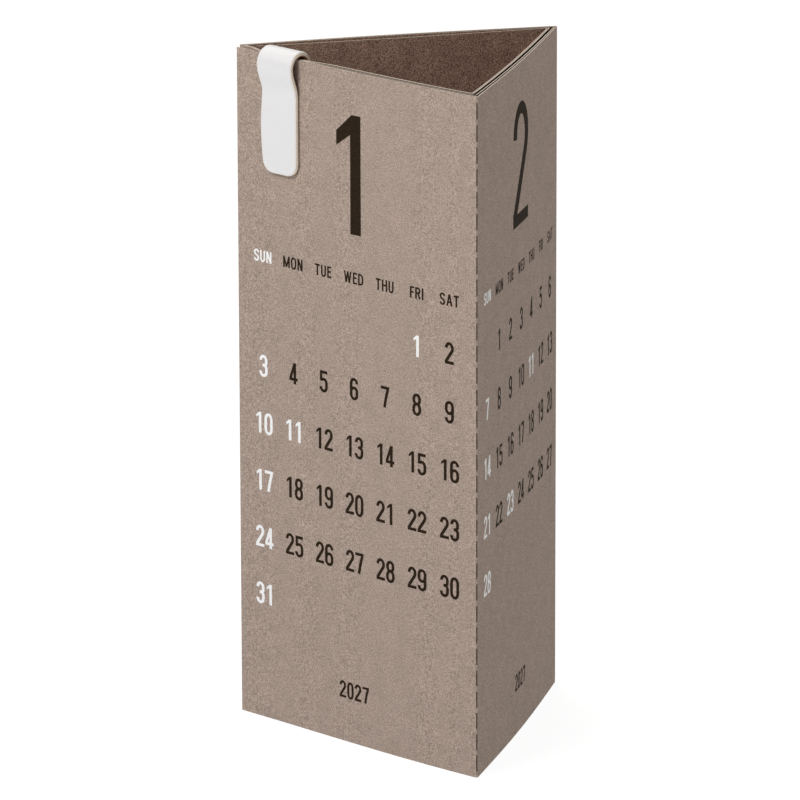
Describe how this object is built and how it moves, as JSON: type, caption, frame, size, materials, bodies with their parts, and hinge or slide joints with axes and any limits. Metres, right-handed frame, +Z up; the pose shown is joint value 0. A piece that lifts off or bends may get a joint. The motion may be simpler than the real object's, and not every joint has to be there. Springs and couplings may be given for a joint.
{
  "type": "desk calendar",
  "caption": "Free-standing triangular desk calendar: a perforated strip of kraft card month panels, rolled into an open tower and held by a leather strap over its rim.",
  "frame": {"origin": "under the middle of the whole object's box, on the surface it stands on", "axes": "+Z up along the tower; -Y is the way the front panel faces; +X runs along the front to the reader's right"},
  "size_m": [0.0748, 0.0682, 0.1569],
  "materials": {
    "kraft_card": "matte",
    "white_leather": "satin",
    "magnet": "satin"
  },
  "bodies": {
    "roll": {"calendar_strip": "kraft_card"},
    "strap": {"leather_strap": "white_leather", "outer_magnet": "magnet", "inner_magnet": "magnet"}
  },
  "joints": [
    {"name": "strap_lift", "type": "slide", "parent": "roll", "child": "strap", "axis": [0, 0, 1], "range_m": [0, 0.027]}
  ]
}
